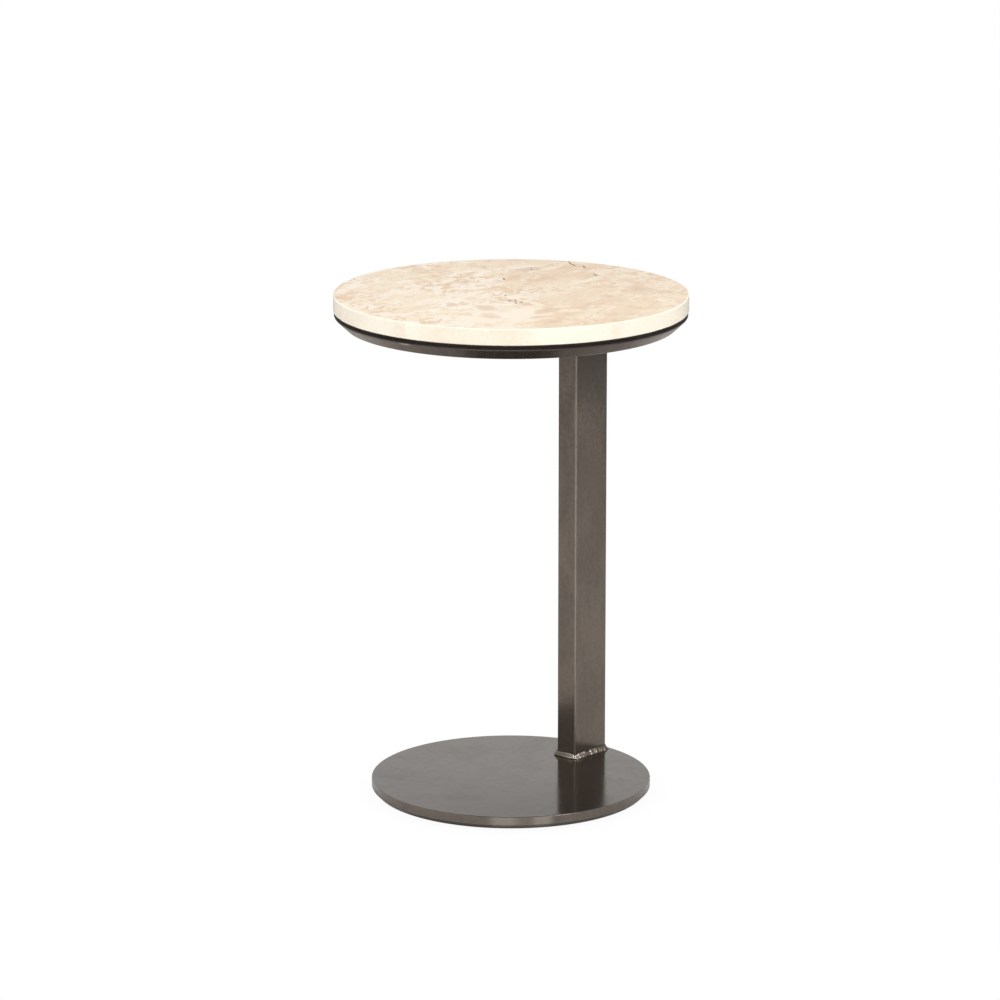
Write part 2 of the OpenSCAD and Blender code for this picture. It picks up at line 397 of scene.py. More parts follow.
# Fine lines along the first axis of Position, in drifts: brushing, or scratches where Share is small
def makeHairlines():
    group, given = startGroup("hairlines", {
        "Position": None, "Length": 0.05, "Spacing": 0.0006, "Share": 0.5, "Softness": 0.2, "Drift": 0.05})
    alongScale = over(1.0, given["Length"])
    acrossScale = over(1.0, given["Spacing"])
    stretched = scaled(given["Position"], joinVector(alongScale, acrossScale, acrossScale))
    lines = noiseField(stretched, scale=1.0, detail=2.0, roughness=0.6, distortion=0.15)
    edge = spanned(given["Share"], low=0.78, high=0.3)
    mask = remap(lines, edge, plus(edge, given["Softness"]))
    drift = noiseField(given["Position"], over(1.0, given["Drift"]), detail=2.0)
    return endGroup(group, times(mask, remap(drift, low=0.3, high=0.62)))


# Fine even grain for bump, such as orange peel in lacquer, rubber's skin or a stone's tooth
def makeGrain(coarseShare=0.18):
    group, given = startGroup("grain", {"Position": None, "Size": 0.001, "Coarse": 0.3}, "Height")
    scale = over(1.0, given["Size"])
    fine = noiseField(given["Position"], scale, detail=3.0, roughness=0.6)
    coarse = noiseField(given["Position"], times(scale, coarseShare), detail=2.0)
    return endGroup(group, mixValue(given["Coarse"], fine, coarse))


rimWearAndLight = makeRimWearAndLight()
cornerHighlightAndShade = makeCornerHighlightAndShade()
spot = makeSpot()
mottle = makeMottle()
hairlines = makeHairlines()
grain = makeGrain()
print("shader groups made")


# An oval is x, y, half length and half width in mm, and the way of its long axis in degrees
def spotMask(place, oval, soft, grow=1.0):
    x, y, long, wide = [size * mm for size in oval[:4]]
    turn = math.radians(oval[4])
    return useGroup(spot, place, {
        "Centre": (x, y, 0), "Way": (math.cos(turn), math.sin(turn), 0),
        "Long": grow * long, "Wide": grow * wide, "Soft": soft})


# Camera, at the photograph's angle

cameraLook = Look(
    azimuth=math.radians(41.57),   # from -Y towards +X
    distance=5.6564, height=1.7623, aside=-0.01339, pitch=0.2416,
    lens=171.97, sensor=36, clipEnd=100,   # lens and sensor width in mm
)


def makeCamera(look):
    data = bpy.data.cameras.new("camera")
    data.lens = look.lens
    data.sensor_width = look.sensor
    data.sensor_fit = "HORIZONTAL"
    data.clip_end = look.clipEnd
    camera = newObject("camera", data)
    c, s = math.cos(look.azimuth), math.sin(look.azimuth)
    aside, away = look.aside, look.distance
    camera.location = (aside * c + away * s, aside * s - away * c, look.height)
    camera.rotation_euler = (math.pi / 2 - look.pitch, 0, look.azimuth)
    bpy.context.scene.camera = camera


makeCamera(cameraLook)
print("camera made")


# Studio: a round pale floor, a soft sky that darkens to the horizon, and soft boxes in front

studioLook = Look(
    floorRadius=2.8, floorSides=160,
    # distance from the middle and tone: darker under the plate as painted shade, and a painted pool of light
    # that falls off beyond what is lit
    floorTones=[(0.0, 0.35), (0.176, 0.5), (0.19, 0.76), (0.4, 0.66), (1.2, 0.70), (1.75, 0.50),
                (2.2, 0.95), (2.55, 0.10)],
    contactShade=0.05, contactReach=0.09, contactSamples=8,   # the floor darkens under the table
    # height of the direction, from straight down to straight up, and tone
    skyStops=[(0.0, 0.10), (0.47, 0.12), (0.52, 0.54), (0.62, 0.78), (0.8, 0.66), (1.0, 0.40)],
    aim=(0, 0, 0.5),   # what the soft boxes face
)
boxLights = [
    # name, azimuth from the camera, elevation, distance, width, height, watts, mirrored
    ("keyBox", 48, 32, 3.2, 0.75, 0.75, 19.0, True),
    ("fillRight", 50, 16, 3.4, 2.2, 1.4, 57.0, False),
    ("fillLeft", -50, 16, 3.4, 2.2, 1.4, 70.0, False),
    ("overhead", 0, 90, 2.0, 1.6, 1.6, 24.0, False),
]


def makeFloor(look):
    far = look.floorRadius
    bm = bmesh.new()
    bmesh.ops.create_circle(bm, cap_ends=True, segments=look.floorSides, radius=far)
    material = bpy.data.materials.new("paleFloor")
    tree = blankTree(material)
    paths = addNode(tree, "ShaderNodeLightPath").outputs
    openness = addNode(tree, "ShaderNodeAmbientOcclusion", {"Distance": look.contactReach},
                       samples=look.contactSamples).outputs["AO"]
    seen = nextNode("ShaderNodeEmission", {"Strength": spanned(openness, 1 - look.contactShade, 1.0)})
    away = vectorMaths("LENGTH", objectPlace(tree), output=1)
    tones = [(distance / far, level) for distance, level in look.floorTones]
    lit = nextNode("ShaderNodeBsdfDiffuse", {"Color": greyRamp(over(away, far), tones)})
    front = mixShader(paths["Is Camera Ray"], lit, seen)
    clear = addNode(tree, "ShaderNodeBsdfTransparent")
    both = mixShader(addNode(tree, "ShaderNodeNewGeometry").outputs["Backfacing"], front, clear)
    nextNode("ShaderNodeOutputMaterial", {"Surface": both.outputs[0]})
    mesh = meshFrom("floor", bm)
    mesh.materials.append(material)
    floor = newObject("floor", mesh)


def makeSky(look):
    world = bpy.data.worlds.new("studio")
    bpy.context.scene.world = world
    tree = blankTree(world)
    paths = addNode(tree, "ShaderNodeLightPath").outputs
    up = splitVector(addNode(tree, "ShaderNodeTexCoord").outputs["Generated"])[2]
    share = remap(up, -1.0, 1.0, smooth=False)
    dome = nextNode("ShaderNodeBackground", {"Color": greyRamp(share, look.skyStops)})
    white = addNode(tree, "ShaderNodeBackground", {"Color": (1, 1, 1, 1)})
    mix = mixShader(paths["Is Camera Ray"], dome, white)
    nextNode("ShaderNodeOutputWorld", {"Surface": mix.outputs[0]})


def makeBoxLight(aim, name, azimuth, elevation, distance, width, height, watts, mirrored):
    data = bpy.data.lights.new(name, "AREA")
    data.shape = "RECTANGLE"
    data.size, data.size_y = width, height
    data.energy = watts
    light = newObject(name, data)
    turn = cameraLook.azimuth + math.radians(azimuth)
    rise = math.radians(elevation)
    back = Vector((math.sin(turn) * math.cos(rise), -math.cos(turn) * math.cos(rise), math.sin(rise)))
    light.location = Vector(aim) + back * distance
    light.rotation_mode = "QUATERNION"
    light.rotation_quaternion = (-back).to_track_quat("-Z", "Y")
    light.visible_camera = False
    light.visible_glossy = mirrored


makeFloor(studioLook)
makeSky(studioLook)
for row in boxLights:
    makeBoxLight(studioLook.aim, *row)
settings = bpy.context.scene.view_settings
settings.view_transform = "Standard"
settings.look = "None"
print("studio made")


# Steel under a satin clear lacquer: what base plate, column, pan and head plate share

steelLook = Look(
    cloudStretch=(1, 1, 1), clouds={"Low": 0.36, "High": 0.66},
    fine={"Detail": 5.0, "Low": 0.4, "High": 0.62}, fineShare=0.16, fineShift=3,
    brushing={"Softness": 0.22, "Drift": 0.09},
    scuffs={"Length": 0.03, "Spacing": 0.0012, "Softness": 0.05, "Drift": 0.04},
    scuffStretch=(0.7, 1.3, 1), scuffShift=(4, 2, 7), scuffStrength=0.35,
    bare=(0.34, 0.30, 0.26, 1), tint=(1, 1, 1, 1), metallic=1.0, raggedness=0.8,
    cloudRough=0.6, fineRough=0.4, roughSteps=(-0.04, 0.06), scuffRough=0.05, rubRough=0.25,
    peelCoarse=0.35, bumpDepth=0.2 * mm, lacquerIndex=1.5,
)


def lacqueredSteel(name, look, lines=None, rims=(), corners=None, patches=()):
    material, shader, place = newMaterial(name)
    size, shift = look.cloudSize, look.cloudPlace
    cloudy = useGroup(mottle, scaled(place, look.cloudStretch), {"Size": size, "Place": shift, **look.clouds})
    fine = useGroup(mottle, place, {
        "Size": size * look.fineShare, "Place": shift + look.fineShift, **look.fine})
    patina = plus(times(cloudy, look.cloudStrength), times(fine, look.fineStrength))
    colour = mixColour(patina, look.light, look.dark)
    brushed = useGroup(hairlines, lines(place) if lines else place, {
        "Length": look.lineLength, "Spacing": look.lineSpacing, "Share": look.lineShare, **look.brushing})
    colour = layOver(colour, look.bare, brushed, look.lineStrength)
    scuffPlace = vectorMaths("ADD", scaled(place, look.scuffStretch), look.scuffShift)
    scuffed = useGroup(hairlines, scuffPlace, {"Share": look.scuffShare, **look.scuffs})
    colour = layOver(colour, look.dark, scuffed, look.scuffStrength)
    # round edges: wear, and on the pan's lip painted shade
    for radius, height, width, strength, tone in rims:
        marksAndShade = useGroup(rimWearAndLight, place, {
            "Radius": radius, "Height": height, "Width": width, "Raggedness": look.raggedness})
        colour = layOver(colour, look[tone], marksAndShade, strength)
    level = splitVector(place)[2]
    # patches: real smudges, and painted shade, painted highlights and painted reflections
    for *oval, strength, soft, tone in patches:
        patch = spotMask(place, oval, soft)
        if tone == "marksAndShade":      # the darker front, which is painted shade, and the smudges lie on the flat top alone
            patch = times(patch, maths("GREATER_THAN", level, look.flatTop))
        colour = layOver(colour, look[tone], patch, strength)
    cloudiness = plus(times(cloudy, look.cloudRough), times(fine, look.fineRough))
    roughness = plus(roughnessFrom(cloudiness, look), times(scuffed, look.scuffRough))
    # painted highlight on the corner toward the front, painted shade on the other corners
    if corners:
        rubbed = times(useGroup(cornerHighlightAndShade, place, corners), look.cornerStrength)
        toward = vectorMaths("DOT_PRODUCT", place, look.handWay, output=1)
        tone = mixColour(remap(toward, *look.handReach), look.shaded, look.rubbed)
        colour = mixColour(rubbed, colour, tone)
        roughness = plus(roughness, times(rubbed, look.rubRough))
    peel = useGroup(grain, place, {"Size": look.grainSize, "Coarse": look.peelCoarse})
    relief = plus(peel, times(brushed, look.lineDepth))
    feed(shader, {
        "Base Color": colour, "Metallic": look.metallic, "Roughness": roughness,
        "Specular Tint": look.tint, "Coat Weight": look.lacquer,
        "Coat Roughness": look.lacquerRoughness, "Coat IOR": look.lacquerIndex,
        "Normal": bumpFrom(relief, look)})
    return material


# Weld: the same lacquer over brushed bead metal, with painted highlights on the crests of ripples and ridges,
# so the valleys between them look darker
weldLook = Look(
    # bare is the pale colour painted on the crests as a painted highlight
    light=(0.115, 0.085, 0.063, 1), dark=(0.052, 0.039, 0.030, 1), bare=(0.85, 0.77, 0.66, 1),
    streaks={"Size": 0.006, "Low": 0.35, "High": 0.65, "Place": 5.0}, crestStrength=0.55,
    grain={"Size": 0.0006, "Coarse": 0.3}, bump=0.25, bumpDepth=0.2 * mm,
    roughness=0.13, roughSteps=(-0.04, 0.1), lacquer=0.15, lacquerRoughness=0.05,
)


def weldSteel(name, look):
    material, shader, place = newMaterial(name)
    streaky = useGroup(mottle, place, look.streaks)
    colour = mixColour(streaky, look.light, look.dark)
    # painted highlight: the attribute made with the bead lays a pale colour on ripple and ridge crests
    crestHighlight = addNode(material.node_tree, "ShaderNodeAttribute", attribute_name="crestHighlight").outputs["Fac"]
    colour = layOver(colour, look.bare, crestHighlight, look.crestStrength)
    feed(shader, {
        "Base Color": colour, "Metallic": 1.0, "Roughness": roughnessFrom(streaky, look),
        "Coat Weight": look.lacquer, "Coat Roughness": look.lacquerRoughness,
        "Normal": bumpFrom(useGroup(grain, place, look.grain), look)})
    return material


weldMetal = weldSteel("weldMetal", weldLook)
print("steel finishes made")


# Stone top: honed cream and tan stone with soft clouds, mottles, pale wisps and a few open pits

stoneLook = Look(
    spokes=720, arris=1.2 * mm, arrisReach=1.6, arrisWander=0.22 * mm, wanderWaves=14,
    chip=0.5 * mm, chipWaves=95, chipShift=(7, 1, 3), chipRarity=0.42,
    bright=(0.735, 0.668, 0.56, 1), cream=(0.68, 0.59, 0.455, 1), sand=(0.64, 0.525, 0.39, 1),
    tan=(0.575, 0.415, 0.28, 1), blotch=(0.605, 0.465, 0.33, 1), grey=(0.44, 0.35, 0.28, 1),
    pit=(0.02, 0.026, 0.038, 1),
    clouds={"Size": 0.038, "Detail": 6.0, "Warp": 0.7, "Low": 0.45, "High": 0.55, "Place": 1.7},
    flecks={"Size": 0.0095, "Detail": 5.0, "Warp": 0.9, "Low": 0.523, "High": 0.54, "Place": 4.1},
    drift={"Size": 0.05, "Detail": 2.0, "Warp": 0.3, "Low": 0.40, "High": 0.60, "Place": 7.7},
    speck={"Size": 0.0018, "Detail": 2.0, "Warp": 0.0, "Low": 0.42, "High": 0.66, "Place": 0.6},
    leastFlecks=0.4, speckStrength=0.42, leastDots=0.45,
    grainWay=(1.0, 0.6, 1.0),      # mottles run along Y
    # from the pale side of the slab to the sandy side; a swing is size, scale and detail
    across=(0.748, 0.664, 0), sideSwing=(0.24, 9.0, 3.0), sandyReach=(-0.05, 0.07),
    lightPatch=(0.078, -0.118, 0.0), patchSwing=(0.17, 32.0, 5.0), patchReach=(0.085, 0.03),
    patchStrength=0.75,
    wander={"Scale": 55.0, "Detail": 5.0, "Roughness": 0.62}, wanderReach=(0.034, 0.034, 0),
    # how soft the edges of the ovals below are
    blotchSoft=0.13, heartSoft=0.6, wispSoft=0.45, pitSoft=0.2, tintSoft=0.4,
    heartShare=0.6,                # of a blotch's size
    # the upright edge is painted paler, as painted light from the front, from these shares of the arris
    # inward
    sawn=(0.795, 0.74, 0.64, 1), sawnShares=(1.6, 0.5), sawnStrength=0.85, sawnSpeck=0.25,
    # a painted highlight: a pale line along the top arris
    arrisTone=(0.80, 0.76, 0.67, 1), arrisStrength=0.7, arrisWear={"Width": 1.7 * mm, "Raggedness": 0.8},
    roughness=0.33, roughSteps=(-0.03, 0.06), index=1.5, gloss=0.4,
    tooth={"Size": 0.0009, "Coarse": 0.5}, bump=0.12, bumpDepth=0.3 * mm,
    # x, y, half length, half width, way of the long axis in degrees, strength, share of grey in the middle
    blotches=[
        (-88, -18, 14.6, 3.6, 127, 0.90, 0.60), (-68, -46, 14.4, 4.7, 120, 0.80, 0.70),
        (-5, -103, 10.8, 8.9, 133, 0.90, 0.50), (35, -88, 16.1, 13.7, 160, 0.75, 0.60),
        (72, -120, 17.5, 11.8, 132, 0.60, 0.30), (47, -131, 8.2, 6.5, 133, 0.60, 0.20),
        (36, -197, 16.4, 7.1, 145, 1.00, 0.15), (-1, -83, 12.4, 4.7, 145, 0.80, 0.20),
        (-184, 32, 15.6, 9.8, 66, 0.45, 0.00), (-151, 100, 16.5, 8.2, 143, 0.60, 0.10),
        (-133, 99, 8.4, 5.0, 132, 0.70, 0.70), (-113, 44, 25.8, 4.8, 106, 0.70, 0.30),
        (-92, 14, 9.1, 4.1, 124, 0.70, 0.60), (-137, -131, 9.0, 4.6, 122, 0.70, 0.10),
        (-65, 82, 35.7, 13.2, 126, 0.60, 0.10), (-81, 127, 18.4, 10.4, 87, 0.80, 0.80),
        (-29, 101, 16.4, 8.6, 131, 0.90, 0.70), (-36, 151, 45.0, 21.1, 112, 0.75, 0.10),
        (4, 139, 26.6, 10.5, 106, 0.80, 0.30), (-31, 189, 19.8, 12.2, 164, 0.50, 0.10),
        (62, 153, 22.0, 10.0, 169, 0.60, 0.30), (100, 119, 27.8, 18.2, 129, 0.90, 0.65),
        (123, 124, 19.5, 10.3, 142, 0.60, 0.10), (118, 38, 34.7, 10.3, 93, 0.80, 0.10),
        (120, 0, 25.4, 7.6, 112, 0.90, 0.40), (104, -52, 20.4, 14.3, 72, 1.00, 0.60),
        (120, -87, 16.4, 7.5, 76, 0.90, 0.30), (135, -54, 24.9, 8.9, 85, 0.80, 0.20),
        (150, -97, 15.2, 13.9, 44, 0.90, 0.25), (184, -14, 38.4, 14.4, 99, 0.50, 0.00),
        (54, -39, 14.8, 6.5, 171, 0.60, 0.60), (34, -36, 11, 8, 20, 0.90, 0.85),
        (-10, 14, 32.4, 3.1, 128, 0.50, 0.30),
    ],
    # x, y, half length, half width, way, strength
    wisps=[
        (29, -9, 12.4, 4.2, 72, 0.70), (57, -28, 23.3, 3.3, 168, 0.80), (80, -64, 15.6, 3.6, 90, 0.70),
        (-29, 152, 15.0, 4.3, 98, 0.55), (18, 126, 30.6, 4.8, 94, 0.70), (-2, 168, 14.7, 7.1, 140, 0.60),
        (-96, 136, 14.7, 4.4, 84, 0.70), (141, 102, 10.0, 4.6, 77, 0.70), (139, 62, 4.8, 3.6, 128, 0.70),
        (162, 85, 7.8, 4.5, 146, 0.60), (48, 82, 8.5, 3.7, 76, 0.50), (98, -23, 16.7, 4.2, 42, 0.70),
        (124, -33, 12.8, 3.9, 76, 0.60), (47, -54, 13, 3.4, 29, 0.60),
    ],
    # tan that shows in the upright edge, in rows like the wisps
    edgeTints=[
        (110, -185, 52, 16, 31, 0.55), (60, -206, 18, 12, 17, 0.35), (146, -158, 24, 12, 43, 0.45),
        (14, -214, 9, 10, 4, 0.35), (-70, -203, 26, 10, -19, 0.25), (209, -50, 8, 6, 77, 0.3),
    ],
    # open pits along two old cracks, and a few alone: x, y, and what all of them have for the rest
    pits=[
        (-66, 61), (-61, 56.5), (5.5, -16.4), (29.2, -35.9), (34.5, -31.2), (45.3, -42.5), (47.9, -35.4),
        (-77.8, 126.2), (-74.8, 193.8), (-67.1, 187.5), (-61.0, 184.2), (-55.4, 181.5), (-42.7, 184.0),
        (-37.6, 180.0), (0.8, 154.1), (6.8, 150.9),
    ],
    pitOval=(3.4, 1.15, 132),
)


def honedStone(name, look, radius, top):
    material, shader, place = newMaterial(name)
    along = scaled(place, look.grainWay)
    # the listed patches get ragged edges from a place that wanders
    wander = nextNode("ShaderNodeTexNoise", {"Vector": place, **look.wander}).outputs[1]
    wander = vectorMaths("SUBTRACT", wander, (0.5, 0.5, 0.5))
    torn = vectorMaths("ADD", place, scaled(wander, look.wanderReach))
    clouds = useGroup(mottle, along, look.clouds)
    flecks = useGroup(mottle, along, look.flecks)
    drift = useGroup(mottle, place, look.drift)
    speck = useGroup(mottle, place, look.speck)
    side = vectorMaths("DOT_PRODUCT", place, look.across, output=1)
    sandy = remap(plus(side, swing(place, *look.sideSwing)), *look.sandyReach)
    colour = mixColour(clouds, look.bright, look.cream)
    colour = mixColour(sandy, colour, mixColour(clouds, look.cream, look.sand))
    # small tan mottles, in drifts
    colour = layOver(colour, look.tan, flecks, spanned(drift, look.leastFlecks, 1.0))
    # the lightest part of the slab
    gap = vectorMaths("DISTANCE", flatPlace(place), look.lightPatch, output=1)
    lit = remap(plus(gap, swing(along, *look.patchSwing)), *look.patchReach)
    colour = layOver(colour, look.bright, lit, look.patchStrength)
    dotted = spanned(speck, look.leastDots, 1.0)
    patchy = mixColour(flecks, look.blotch, look.tan)
    for *oval, strength, greyShare in look.blotches:
        colour = layOver(colour, patchy, spotMask(torn, oval, look.blotchSoft), strength)
        if greyShare:
            heart = spotMask(torn, oval, look.heartSoft, look.heartShare)
            colour = layOver(colour, look.grey, times(heart, dotted), greyShare)
    for *oval, strength in look.wisps:
        colour = layOver(colour, look.bright, spotMask(torn, oval, look.wispSoft), strength)
    colour = layOver(colour, look.tan, speck, look.speckStrength)
    for pit in look.pits:
        mask = spotMask(place, (*pit, *look.pitOval), look.pitSoft)
        colour = mixColour(mask, colour, look.pit)
    # the upright edge painted paler as painted light from the front; the stone's own tan tints go over it
    sawn = remap(radiusOf(place), *[radius - share * look.arris for share in look.sawnShares])
    pale = layOver(look.sawn, look.cream, speck, look.sawnSpeck)
    for *oval, strength in look.edgeTints:
        mask = times(spotMask(torn, oval, look.tintSoft), dotted)
        pale = layOver(pale, look.sand, mask, strength)
    colour = layOver(colour, pale, sawn, look.sawnStrength)
    # painted highlight along the top arris
    eased = useGroup(rimWearAndLight, place, {"Radius": radius, "Height": top, **look.arrisWear})
    colour = layOver(colour, look.arrisTone, eased, look.arrisStrength)
    tooth = useGroup(grain, place, look.tooth)
    feed(shader, {
        "Base Color": colour, "Roughness": roughnessFrom(clouds, look), "IOR": look.index,
        "Specular IOR Level": look.gloss, "Normal": bumpFrom(tooth, look)})
    return material


def makeStone(look):
    low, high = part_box("stone_top")
    radius = (high.x - low.x) / 2
    arris = look.arris
    profile = roundedProfile([(0, low.z, 0), (radius, low.z, arris), (radius, high.z, arris), (0, high.z, 0)])
    middle = (low.z + high.z) / 2

    # the arris wanders a little and has small chips, as hand-eased stone has
    def wobble(point, angle):
        above = point.z > middle
        at = Vector((math.cos(angle), math.sin(angle), 0 if above else 2))
        toFace = min(abs(point.z - low.z), abs(point.z - high.z))
        edge = Vector((math.hypot(point.x, point.y) - radius, toFace))
        near = max(0.0, 1 - edge.length / (look.arrisReach * arris))
        soft = look.arrisWander * (noise.noise(at * look.wanderWaves) + 1) / 2
        deep = noise.noise(at * look.chipWaves + Vector(look.chipShift)) - look.chipRarity
        inward = near * (soft + look.chip * max(0.0, deep))
        return point + Vector((-math.cos(angle), -math.sin(angle), -1 if above else 1)) * inward

    bm = turnedMesh(profile, look.spokes, (low.y + high.y) / 2, wobble)
    piece = finishMesh("stoneTop", bm, honedStone("honedStone", look, radius, high.z))
    placePiece(piece, "stone", "stone_top")


makeStone(stoneLook)
print("stone made")


# Spun pan under the stone, with its upright lip, sloping flank and the four bolt holes

panLook = Look(
    steelLook,
    spokes=512, sheet=2 * mm, lip=6 * mm, inset=14 * mm, bend=1 * mm, rimArris=0.35 * mm,
    boltHole=6.6 * mm, boltX=34 * mm, boltY=(95 * mm, 173 * mm), holeSides=48, overrun=1 * mm,
    # deep is a painted shade tone, laid on the lip and on the right flank
    light=(0.075, 0.056, 0.044, 1), dark=(0.050, 0.038, 0.030, 1), deep=(0.016, 0.013, 0.012, 1),
    tint=(0.93, 0.84, 0.78, 1), metallic=0.72,
    cloudSize=0.045, cloudPlace=2.3, cloudStrength=0.55, fineStrength=0.12,
    lineLength=0.05, lineSpacing=0.0009, lineShare=0.45, lineStrength=0.10, lineDepth=0.25,
    scuffShare=0.18, roughness=0.28, grainSize=0.0011, bump=0.10,
    lacquer=0.08, lacquerRoughness=0.2,
    # along the rim: level, width, strength, tone. The lip is painted nearly black as painted shade under the
    # stone; the top and the fold get a little wear
    rims=[("lip", 4.5 * mm, 0.95, "deep"), ("top", 0.8 * mm, 0.15, "bare"), ("fold", 1.0 * mm, 0.15, "bare")],
    # x, y, half length, half width, way, strength, softness, tone. The deep one is painted shade on the right
    # flank; the bare ones are painted highlights and reflections: a streak along the flank's foot, a glint on
    # the lip's bend, and the pale ends of the flank
    patches=[
        (197, -63, 75, 26, 72, 0.28, 0.7, "deep"), (186, -71, 15, 1.6, 69, 0.6, 0.5, "bare"),
        (20.9, -211.6, 8, 0.9, 5.6, 0.9, 0.5, "bare"), (-83.9, -184.9, 48, 7, -24.4, 0.21, 0.6, "bare"),
        (198.9, 40.8, 44, 7, 101.6, 0.22, 0.6, "bare"),
    ],
)


# Spinning leaves lines round the axis, so the lines follow the angle and step with radius and height
def roundAxis(place, metresPerRadian=0.2):
    parts = splitVector(place)
    turn = times(maths("ARCTAN2", parts[1], parts[0]), metresPerRadian)
    return joinVector(turn, radiusOf(place), parts[2])


# Four upright bolt holes through a piece, which is made afresh
def cutHoles(piece, look, low, high):
    radius = look.boltHole / 2
    bm = bmesh.new()
    for x in (-look.boltX, look.boltX):
        for y in look.boltY:
            made = bmesh.ops.create_cone(
                bm, cap_ends=True, segments=look.holeSides, radius1=radius, radius2=radius, depth=high - low)
            bmesh.ops.translate(bm, verts=made["verts"], vec=(x, y, (low + high) / 2))
    cutter = newObject("holeCutter", meshFrom("holeCutter", bm))
    cut = piece.modifiers.new("holes", "BOOLEAN")
    cut.object = cutter
    cut.operation = "DIFFERENCE"
    cut.solver = "EXACT"
    seen = bpy.context.evaluated_depsgraph_get()
    seen.update()
    fresh = bpy.data.meshes.new_from_object(piece.evaluated_get(seen))
    bm = bmesh.new()
    bm.from_mesh(fresh)
    name, material = piece.name, piece.data.materials[0]
    bpy.data.objects.remove(cutter)
    bpy.data.objects.remove(piece)
    return finishMesh(name, bm, material)


def makePan(look):
    low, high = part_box("top_pan")
    sheet, bend, rimArris = look.sheet, look.bend, look.rimArris
    rim = (high.x - low.x) / 2
    top = high.z - low.z
    floorRadius = rim - look.inset
    flank = top - look.lip
    slope = math.atan2(flank, look.inset)
    floorInside = floorRadius - sheet * math.tan(slope / 2)
    foldInside = flank + sheet * math.tan((math.pi / 2 - slope) / 2)
    rows = [(0, 0, 0), (floorRadius, 0, bend + sheet), (rim, flank, bend + sheet), (rim, top, rimArris),
            (rim - sheet, top, rimArris), (rim - sheet, foldInside, bend), (floorInside, sheet, bend),
            (0, sheet, 0)]
    profile = [(point.x, point.y + low.z) for point in roundedProfile(rows)]
    levels = {"lip": high.z - look.lip / 2, "top": high.z, "fold": low.z + flank}
    rims = [(rim, levels[level], *wear) for level, *wear in look.rims]
    material = lacqueredSteel("panSteel", look, roundAxis, rims, patches=look.patches)
    piece = finishMesh("topPan", turnedMesh(profile, look.spokes, (low.y + high.y) / 2), material)
    piece = cutHoles(piece, look, low.z - look.overrun, low.z + 2 * sheet)
    placePiece(piece, "dark_metal", "top_pan")


makePan(panLook)
print("pan made")


# Head plate, bolted up through the pan

plateLook = Look(
    panLook, corner=8 * mm, cornerSteps=10, arris=0.5 * mm, arrisSteps=5, cloudPlace=7.7, roughness=0.36,
    cloudSize=0.03, lineShare=0.3, scuffShare=0.3)


def makeHeadPlate(look):
    low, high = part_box("head_plate")
    sizeX, sizeY = high.x - low.x, high.y - low.y
    arris, steps = look.arris, look.arrisSteps
    turns = [math.pi / 2 * i / steps for i in range(steps + 1)]
    layers = [(arris * (1 - math.sin(turn)), low.z + arris * (1 - math.cos(turn))) for turn in turns]
    layers.append((0, low.z + 2 * arris))
    layers += [(inset, low.z + high.z - z) for inset, z in reversed(layers)]
    bm = bmesh.new()
    loops = []
    for inset, z in layers:
        sizes = (sizeX - 2 * inset, sizeY - 2 * inset, look.corner - inset)
        loops.append(outlineLoop(bm, barOutline(*sizes, look.cornerSteps), (low.y + high.y) / 2, z))
    skinLoops(bm, loops)
    bm.faces.new(loops[0])
    bm.faces.new(loops[-1])
    piece = finishMesh("headPlate", bm, lacqueredSteel("plateSteel", look))
    piece = cutHoles(piece, look, low.z - look.overrun, high.z + look.overrun)
    placePiece(piece, "dark_metal", "head_plate")


makeHeadPlate(plateLook)
print("head plate made")


# Column: 60 x 30 tube with 2 mm walls

columnLook = Look(
    steelLook,
    wall=2 * mm, bend=1 * mm, cornerSteps=8, lengths=12,
    light=(0.170, 0.138, 0.113, 1), dark=(0.12, 0.097, 0.080, 1), bare=(0.30, 0.265, 0.23, 1),
    cloudStretch=(1, 1, 0.35), cloudSize=0.03, cloudPlace=11.4, cloudStrength=0.45,
    fineStrength=0.28,
    lineLength=0.09, lineSpacing=0.0008, lineShare=0.5, lineStrength=0.12, lineDepth=0.3,
    scuffShare=0.12, roughness=0.20, grainSize=0.0010, bump=0.10,
    lacquer=0.15, lacquerRoughness=0.14,
    # a painted highlight along the corner that faces the front, and painted shade along the other corners
    corners={"Width": 1.4 * mm, "Raggedness": 0.6}, cornerStrength=0.72,
    rubbed=(0.36, 0.315, 0.275, 1), shaded=(0.075, 0.06, 0.05, 1),
    handWay=(0.664, -0.748, 0), handSteps=(18 * mm, 28 * mm),
)


# The column's lines run up it, so height comes first
def upright(place):
    parts = splitVector(place)
    return joinVector(parts[2], parts[0], parts[1])


def makeColumn(look):
    low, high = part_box("column_tube")
    sizeX, sizeY = high.x - low.x, high.y - low.y
    centreY = (low.y + high.y) / 2
    wall, bend, steps, lengths = look.wall, look.bend, look.cornerSteps, look.lengths
    outer = barOutline(sizeX, sizeY, bend + wall, steps)
    inner = barOutline(sizeX - 2 * wall, sizeY - 2 * wall, bend, steps)
    heights = [low.z + (high.z - low.z) * i / lengths for i in range(lengths + 1)]
    bm = bmesh.new()
    outside, inside = [[outlineLoop(bm, outline, centreY, z) for z in heights] for outline in (outer, inner)]
    for loops in (outside, inside, (outside[0], inside[0]), (outside[-1], inside[-1])):
        skinLoops(bm, loops)
    # the painted highlight and painted shade lie along the middle of each rounded corner
    cornerIn = (bend + wall) * (1 - math.sqrt(0.5))
    corners = {"Middle": (0, centreY, 0), "HalfX": sizeX / 2 - cornerIn, "HalfY": sizeY / 2 - cornerIn,
               **look.corners}
    handReach = [look.handWay[1] * centreY + step for step in look.handSteps]
    material = lacqueredSteel("columnSteel", Look(look, handReach=handReach), upright, corners=corners)
    placePiece(finishMesh("columnTube", bm, material), "dark_metal", "column_tube")


makeColumn(columnLook)
print("column made")


# Base plate: thick disc, eased above and bevelled below

